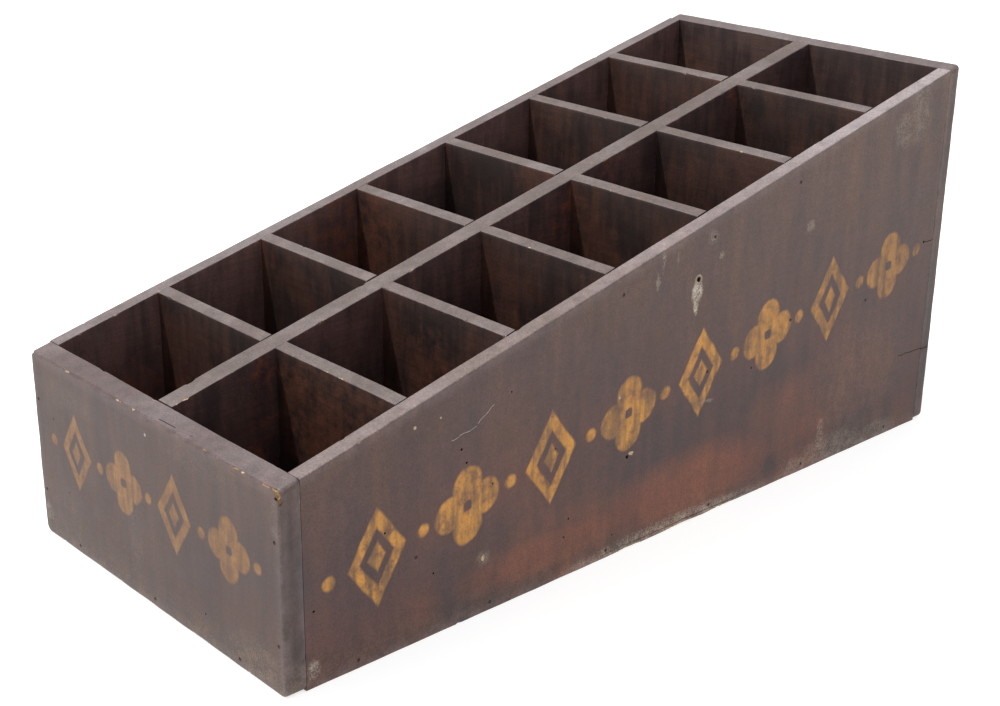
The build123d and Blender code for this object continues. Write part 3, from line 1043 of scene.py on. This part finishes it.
centre_slots = []
for i, board in enumerate(cross_boards, start=1):
    low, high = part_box(f"cross_divider_{i}")
    middle_y = (low.y + high.y) / 2
    lap_z = (low.z + top_z(middle_y)) / 2
    slot = box_cutter((centre_low.x - slot_play, low.y - over, lap_z - lap_gap),
                      (centre_high.x, high.y + over, high.z + over))
    slot.data.materials.append(board.data.materials[0])
    cut_away(board, [slot])
    centre_slots.append(box_cutter((centre_low.x - over, low.y - centre_slot_play / 2, low.z - over),
                                   (centre_high.x + over, high.y + centre_slot_play / 2, lap_z)))
    centre_slots[-1].data.materials.append(centre_board.data.materials[0])
cut_away(centre_board, centre_slots)
print("centre board after its slots:", len(centre_board.data.polygons), "faces")

# %% [markdown]
# The nails are the CAD model's own. Their heads lie just under the paint, each in a pit that the
# punch left, so the places of the pits are read from the nails: the outermost corners of each
# row, gathered into heads. Some pits are still filled with pale putty, and there the cut is only
# a shallow dish in the putty's finish, which leaves the nail covered.

# %% Find the nail heads of a row
nail_apart = 6 * mm
same_height = 0.05 * mm


def nail_heads(node, axis, side):
    """The middles of the heads in a row of nails that point along this axis."""
    spots = [vertex.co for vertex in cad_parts[node].data.vertices]
    outermost = max(side * spot[axis] for spot in spots)
    heads = []
    for spot in spots:
        if side * spot[axis] < outermost - same_height:
            continue
        near = [head for head in heads if (head[0] - spot).length < nail_apart]
        if near:
            near[0].append(spot)
        else:
            heads.append([spot])
    return [sum(head, Vector()) / len(head) for head in heads]


# %% Pits over the nail heads
pit_radius = 1.3 * mm
pit_depth = 0.7 * mm
putty_radius = 1.2 * mm
putty_dish = 0.16 * mm
hole_reach = 4 * mm


def hole_cutter(spot, axis, side, radius, depth, finish, sides=12):
    """A round cutter that goes into a face from outside to this depth below the spot."""
    middle = Vector(spot)
    middle[axis] += side * (hole_reach - depth) / 2
    turn = (0, math.radians(90), 0) if axis == 0 else (math.radians(90), 0, 0)
    bpy.ops.object.select_all(action="DESELECT")
    bpy.ops.mesh.primitive_cylinder_add(
        vertices=sides, radius=radius, depth=hole_reach + depth, location=middle, rotation=turn
    )
    bpy.context.object.data.materials.append(finish)
    return bpy.context.object


nail_rows = (
    (front_board, across_y, -1, ("nails_front_left", "nails_front_right", "nails_centre_front",
                                 "nails_bottom_front")),
    (rear_board, across_y, 1, ("nails_rear_left", "nails_rear_right", "nails_centre_rear",
                               "nails_bottom_rear")),
    (side_left, across_x, -1, ("nails_dividers_left", "nails_bottom_left")),
    (side_right, across_x, 1, ("nails_dividers_right", "nails_bottom_right")),
)
puttied = {
    front_board: ((1, 126), (1, 42)),
    rear_board: ((1, 289),),
    side_left: ((-228, 151), (44, 116), (232, 264)),
    side_right: ((-228, 151), (-138, 173), (-137, 75), (-47, 121), (232, 264)),
}
near_enough = 9 * mm
cutters = {}
for board, axis, side, rows in nail_rows:
    cutters[board] = []
    surface = side * max(side * corner[axis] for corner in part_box(board.name.replace("_worn", "")))
    for head in [head for row in rows for head in nail_heads(row, axis, side)]:
        head[axis] = surface
        along = head[1 - axis]
        filled = any(math.hypot(along - place * mm, head.z - up * mm) < near_enough
                     for place, up in puttied[board])
        cutters[board].append(
            hole_cutter(head, axis, side, putty_radius if filled else pit_radius,
                        putty_dish if filled else pit_depth, putty if filled else dark_hole))
    print(board.name, "has", len(cutters[board]), "nail heads")

# %% [markdown]
# Beetles left small round holes, most in the right side, and older nails and tacks left others,
# some of them filled. Those of the right side and the front are measured from the photograph,
# and the left side and the rear get a few like them. Places are given along the board and up from
# the underside in plain millimetres, and so are all the knocks and cracks that come after them.

# %% The faces of the outer boards, and the height of the slope over them
left_x, front_y, _ = [round(side / mm, 1) for side in cad_box[0]]
right_x, rear_y, _ = [round(side / mm, 1) for side in cad_box[1]]
inner_left_x = round(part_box("side_board_left")[1].x / mm, 1)
inner_right_x = round(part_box("side_board_right")[0].x / mm, 1)
print("outer faces at", left_x, right_x, front_y, rear_y, "and inner ones at", inner_left_x, inner_right_x)


def top_at(y):
    """Height of the sloping top at this place, all in millimetres."""
    return top_z(y * mm) / mm


# %% Old holes
Hole = namedtuple("Hole", "along up radius finish")
hole_depth = {dark_hole: 4 * mm, putty: putty_dish}
old_holes = {
    side_right: (
        Hole(-252.7, 87.3, 0.8, dark_hole), Hole(-190.2, 125.1, 1.0, dark_hole),
        Hole(-185.9, 114.5, 0.9, dark_hole), Hole(-213.9, 45.4, 0.8, dark_hole),
        Hole(-163.5, 92.9, 0.7, dark_hole), Hole(-147.9, 153.0, 0.7, dark_hole),
        Hole(-107.0, 100.6, 0.7, dark_hole), Hole(-37.0, 73.5, 1.4, dark_hole),
        Hole(-93.0, 43.8, 0.8, dark_hole), Hole(-97.1, 31.0, 0.7, dark_hole),
        Hole(-49.1, 16.5, 0.6, dark_hole), Hole(94.5, 106.2, 0.8, dark_hole),
        Hole(-307.8, 53.2, 0.9, dark_hole), Hole(305.7, 161.1, 1.2, dark_hole),
        Hole(-207.5, 151.8, 0.8, putty), Hole(-119.2, 169.7, 0.8, putty),
        Hole(29.2, 189.8, 1.9, dark_hole), Hole(-200.0, 120.0, 0.8, putty),
    ),
    front_board: (
        Hole(-97.9, 37.3, 1.0, putty), Hole(-86.9, 27.6, 0.9, putty),
        Hole(-123.0, 96.0, 0.6, dark_hole), Hole(62.0, 22.0, 0.7, dark_hole),
        Hole(-109.0, 44.0, 0.6, dark_hole), Hole(-118.0, 58.0, 0.6, putty),
    ),
    side_left: (
        Hole(-150.0, 60.0, 0.8, dark_hole), Hole(12.0, 130.0, 0.8, dark_hole),
        Hole(96.0, 42.0, 0.7, dark_hole), Hole(210.0, 190.0, 0.9, dark_hole),
    ),
    rear_board: (
        Hole(-60.0, 120.0, 0.8, dark_hole), Hole(85.0, 54.0, 0.8, dark_hole),
        Hole(40.0, 232.0, 0.9, dark_hole), Hole(-102.0, 205.0, 0.7, dark_hole),
    ),
}
outer_face = {side_right: right_x, side_left: left_x, front_board: front_y, rear_board: rear_y}
for board, axis, side, rows in nail_rows:
    for hole in old_holes[board]:
        spot = Vector((0, 0, hole.up * mm))
        spot[axis] = outer_face[board] * mm
        spot[1 - axis] = hole.along * mm
        cutters[board].append(
            hole_cutter(spot, axis, side, hole.radius * mm, hole_depth[hole.finish], hole.finish, sides=8))

# %% [markdown]
# Where something struck an arris, a splinter is gone. One way is to move the board's own
# vertices, but they are too far apart for a ragged hole. So a ball is made lumpy with noise,
# drawn out along the arris, and cut away, and the pine's own finish goes on the wound.

# %% Lumps that are knocked out
lump_grain = 2.2


def lump_cutter(spot, half_sizes, seed, finish, roughness=0.5, subdivisions=3):
    """A rough lump with this finish, to be knocked out of a board here."""
    bpy.ops.object.select_all(action="DESELECT")
    bpy.ops.mesh.primitive_ico_sphere_add(subdivisions=subdivisions, radius=1)
    lump = bpy.context.object
    for vertex in lump.data.vertices:
        spot_in_wood = Vector(a * b for a, b in zip(vertex.co, half_sizes)) / lump_grain
        vertex.co *= 1 + roughness * noise.noise(spot_in_wood + Vector((seed, seed, 0)))
    lump.scale = Vector(half_sizes) * mm
    lump.location = Vector(spot) * mm
    bpy.ops.object.transform_apply(location=True, rotation=True, scale=True)
    lump.data.materials.append(finish)
    return lump


def knocks_along(start, end, count, seed, finish, small=0.5, large=1.2, drawn_out=2.4):
    """Small lumps at random places on the straight arris between two points."""
    start, end = Vector(start), Vector(end)
    way = (end - start).normalized()
    luck = random.Random(seed)
    lumps = []
    for i in range(count):
        share = (i + luck.uniform(0.1, 0.9)) / count
        size = luck.uniform(small, large)
        half_sizes = [size * (0.75 + drawn_out * abs(way[axis])) for axis in (0, 1, 2)]
        lumps.append(lump_cutter(start.lerp(end, share), half_sizes, seed + i, finish, subdivisions=2))
    return lumps


# %% [markdown]
# A crack or a deep scratch is a thin cutter that is drawn from point to point: one small disc is
# extruded along a path, and noise makes the path wander on the face between its ends. Blender's
# vector noise begins somewhere else at each start, so it is given a seed, and every run then
# draws the same lines.

# %% Lines that are scored or split
wander_seed = 6
noise.seed_set(wander_seed)


def line_cutter(start, end, radius, finish, seed=0, steps=8, wander=1.0):
    """A thin cutter from one point to another, that wanders on its way."""
    start, end = Vector(start), Vector(end)
    into_face = 0 if abs(abs(start.x) - right_x) < 1 else 1
    spots = []
    for i in range(steps + 1):
        spot = start.lerp(end, i / steps)
        off_line = noise.noise_vector(spot / 9 + Vector((seed, 0, 0))) * wander
        off_line[into_face] = 0
        spots.append((spot + off_line) * mm)
    way = spots[1] - spots[0]
    bpy.ops.object.select_all(action="DESELECT")
    bpy.ops.mesh.primitive_circle_add(vertices=6, radius=radius * mm, fill_type="NGON",
                                      location=spots[0], rotation=way.to_track_quat("Z", "Y").to_euler())
    line = bpy.context.object
    bpy.ops.object.transform_apply(location=True, rotation=True, scale=True)
    bpy.ops.object.mode_set(mode="EDIT")
    bpy.ops.mesh.select_all(action="SELECT")
    for first, second in zip(spots, spots[1:]):
        bpy.ops.mesh.extrude_region_move(TRANSFORM_OT_translate={"value": second - first})
    bpy.ops.mesh.select_all(action="SELECT")
    bpy.ops.mesh.normals_make_consistent(inside=False)
    bpy.ops.object.mode_set(mode="OBJECT")
    line.data.materials.append(finish)
    return line


# %% [markdown]
# A hook once hung on the right side. Round its hole lies a rim of old plaster: a ring that is let
# half way into the face and leaves a groove with the plaster's finish.

# %% The rim of plaster round the old hole
def ring_cutter(spot, radius, thickness, finish):
    """A ring let into the right side here."""
    bpy.ops.object.select_all(action="DESELECT")
    bpy.ops.mesh.primitive_torus_add(
        major_segments=20, minor_segments=8, major_radius=radius * mm, minor_radius=thickness * mm,
        location=Vector(spot) * mm, rotation=(0, math.radians(90), 0)
    )
    ring = bpy.context.object
    bpy.ops.object.transform_apply(location=True, rotation=True, scale=True)
    ring.data.materials.append(finish)
    return ring


# %% [markdown]
# Now each wound goes to its place. The ones that the photograph shows are put where they are: the
# split foot, the two pale scratches and the cracked rear joint of the right side, and the chipped
# corner of the front. The knocks along the arrises are strewn by chance, each arris with a seed
# of its own, so that every run gives the same.

# %% Knocks, splits and scratches of the outer boards
def top_arris(x):
    """Both ends of the worn stretch of a side board's top arris."""
    return (x, -312, top_at(-314)), (x, 317, top_at(317))


cutters[side_right] += [
    ring_cutter((right_x, 29.2, 189.8), 3.1, 0.8, putty),
    lump_cutter((right_x, -171.6, 41.5), (0.5, 1.6, 2.2), 1, split_pine),
    lump_cutter((right_x, -33.0, 75.0), (0.4, 2.4, 1.4), 2, split_pine),
    lump_cutter((right_x, -301.8, top_at(-301)), (0.8, 1.6, 0.7), 3, split_pine),
    line_cutter((right_x, -198.5, 134.2), (right_x, -178.0, 137.0), 0.28, scored_paint, 4, 8, 2.4),
    line_cutter((right_x, -177.0, 138.5), (right_x, -162.4, 147.5), 0.28, scored_paint, 5, 6, 2.4),
    line_cutter((right_x, 285.5, 67.0), (right_x, 319.0, 65.5), 0.45, dark_hole, 6, 6, 1.2),
    line_cutter((right_x, 307.0, 161.0), (right_x, 319.0, 160.0), 0.45, dark_hole, 7, 3, 0.8),
    line_cutter((right_x, -60.0, 3.6), (right_x, 96.0, 3.2), 0.3, dark_hole, 8, 14, 1.2),
    lump_cutter((right_x, -30, 0), (1.8, 17, 2.0), 27, split_pine, 0.6, 4),
    lump_cutter((right_x, 24, 0), (1.8, 21, 2.4), 28, split_pine, 0.6, 4),
    lump_cutter((right_x, 66, 0), (1.8, 18, 2.0), 29, split_pine, 0.6, 4),
    *knocks_along((right_x, -312, 0), (right_x, -60, 0), 12, 90, worn_wood, 0.5, 1.0),
    *knocks_along((right_x, 100, 0), (right_x, 316, 0), 9, 110, worn_wood, 0.5, 1.0),
    *knocks_along(*top_arris(right_x), 26, 130, worn_wood, 0.35, 0.8),
    *knocks_along(*top_arris(inner_right_x), 14, 170, worn_wood, 0.3, 0.7),
]
cutters[side_left] += [
    line_cutter((left_x, 120.0, 4.0), (left_x, 210.0, 4.2), 0.3, dark_hole, 9, 10, 1.2),
    *knocks_along((left_x, -312, 0), (left_x, 316, 0), 22, 200, worn_wood, 0.5, 1.1),
    *knocks_along(*top_arris(left_x), 24, 230, worn_wood, 0.4, 0.9),
    *knocks_along(*top_arris(inner_left_x), 12, 260, worn_wood, 0.3, 0.7),
]
cutters[front_board] += [
    lump_cutter((147.4, -329.4, 136.8), (2.4, 1.1, 2.8), 18, handled_pine),
    lump_cutter((148.4, -328.6, 132.6), (0.9, 1.2, 2.2), 41, handled_pine),
    lump_cutter((144.2, -329.0, 139.4), (3.4, 1.0, 0.8), 42, handled_pine),
    lump_cutter((146.4, -329.8, 134.4), (1.6, 0.7, 1.0), 43, dark_hole),
    lump_cutter((left_x, front_y, 81.0), (1.6, 3.0, 2.6), 19, worn_wood),
    lump_cutter((-148.0, -329.0, 138.5), (2.6, 2.4, 1.8), 20, worn_wood),
    line_cutter((15.0, -326.6, 140.6), (33.0, -326.0, 140.8), 0.35, dark_hole, 21, 5, 0.8),
    line_cutter((36.0, -326.4, 140.8), (52.0, -325.6, 140.9), 0.35, dark_hole, 22, 5, 0.8),
    line_cutter((-125.0, front_y, 136.6), (-62.0, front_y, 137.2), 0.18, red_pine, 23, 12, 1.6),
    line_cutter((-48.0, front_y, 136.6), (8.0, front_y, 137.0), 0.18, dark_hole, 24, 12, 1.6),
    line_cutter((26.0, front_y, 136.6), (128.0, front_y, 136.6), 0.2, red_pine, 25, 18, 1.8),
    *knocks_along((-143, front_y, 0.4), (143, front_y, 0.4), 26, 300, worn_wood, 0.5, 1.2),
    *knocks_along((right_x, front_y, 8), (right_x, front_y, 132), 9, 340, worn_wood, 0.4, 0.9),
    *knocks_along((left_x, front_y, 8), (left_x, front_y, 132), 9, 360, worn_wood, 0.4, 1.0),
    *knocks_along((-140, -314.8, 143.6), (140, -314.8, 143.6), 12, 380, worn_wood, 0.3, 0.7),
]
front_chips = (
    (-98, 3, split_pine), (-30, 5, split_pine), (-12, 2, split_pine), (24, 3, red_pine), (59, 4, red_pine),
    (69.5, 3, handled_pine), (104, 3, handled_pine), (112, 2, split_pine), (134, 4, handled_pine),
)
for number, (x, reach, finish) in enumerate(front_chips):
    cutters[front_board].append(
        lump_cutter((x, -329.4, 139.4), (reach, 0.8, 0.7), 700 + number, finish, roughness=0.8))
cutters[rear_board] += [
    line_cutter((right_x, 317.0, 65.5), (right_x, 331.0, 65.0), 0.45, dark_hole, 26, 3, 0.8),
    *knocks_along((-143, rear_y, 0.4), (143, rear_y, 0.4), 20, 400, worn_wood, 0.5, 1.2),
    *knocks_along((right_x, rear_y, 8), (right_x, rear_y, 296), 12, 430, worn_wood, 0.4, 0.9),
    *knocks_along((left_x, rear_y, 8), (left_x, rear_y, 296), 12, 460, worn_wood, 0.4, 0.9),
    *knocks_along((-144, rear_y, 302.4), (144, rear_y, 302.4), 14, 490, worn_wood, 0.4, 0.9),
]
for board in cutters:
    cut_away(board, cutters[board])
    print(board.name, "after its holes and knocks:", len(board.data.polygons), "faces")

# %% [markdown]
# The inner boards have their knocks on the top arrises only, where hands and goods passed.

# %% Knocks of the inner boards
centre_right, centre_left = centre_high.x / mm, centre_low.x / mm
knocks = [
    lump_cutter((centre_right, -305, top_at(-305)), (1.4, 4.5, 0.8), 500, split_pine),
    lump_cutter((centre_right, -311, top_at(-311)), (1.0, 2.5, 0.7), 501, split_pine),
    lump_cutter((centre_right, -120, top_at(-120)), (0.8, 7.0, 0.7), 502, red_pine),
]
for x, seed in ((centre_right, 510), (centre_left, 530)):
    knocks += knocks_along((x, -300, top_at(-300)), (x, 310, top_at(310)), 12, seed, worn_wood, 0.4, 0.9)
cut_away(centre_board, knocks)

pale_chips = {1: ((64, 3.2, split_pine), (80, 3.0, split_pine), (-111, 2.0, red_pine)),
              3: ((60, 2.2, split_pine), (-60, 2.0, red_pine)),
              4: ((50, 2.4, split_pine),), 5: ((95, 2.0, split_pine),), 6: ((-40, 2.4, red_pine),)}
for i, board in enumerate(cross_boards, start=1):
    low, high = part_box(f"cross_divider_{i}")
    front_arris, rear_arris = low.y / mm, high.y / mm
    front_up, rear_up = top_z(low.y) / mm, top_z(high.y) / mm
    knocks = []
    for x, reach, finish in pale_chips.get(i, ()):
        knocks.append(lump_cutter((x, front_arris, front_up), (reach, 0.8, 0.6), 540 + i, finish, 0.8))
    for y, up, first_x, last_x, count, seed, large in (
        (front_arris, front_up, -134, -10, 4, 560, 0.9),
        (front_arris, front_up, 12, 134, 4, 620, 0.9),
        (rear_arris, rear_up, -134, 134, 5, 680, 0.8),
    ):
        knocks += knocks_along((first_x, y, up), (last_x, y, up), count, seed + 9 * i, worn_wood, 0.4, large)
    cut_away(board, knocks)
    print(board.name, "after its knocks:", len(board.data.polygons), "faces")
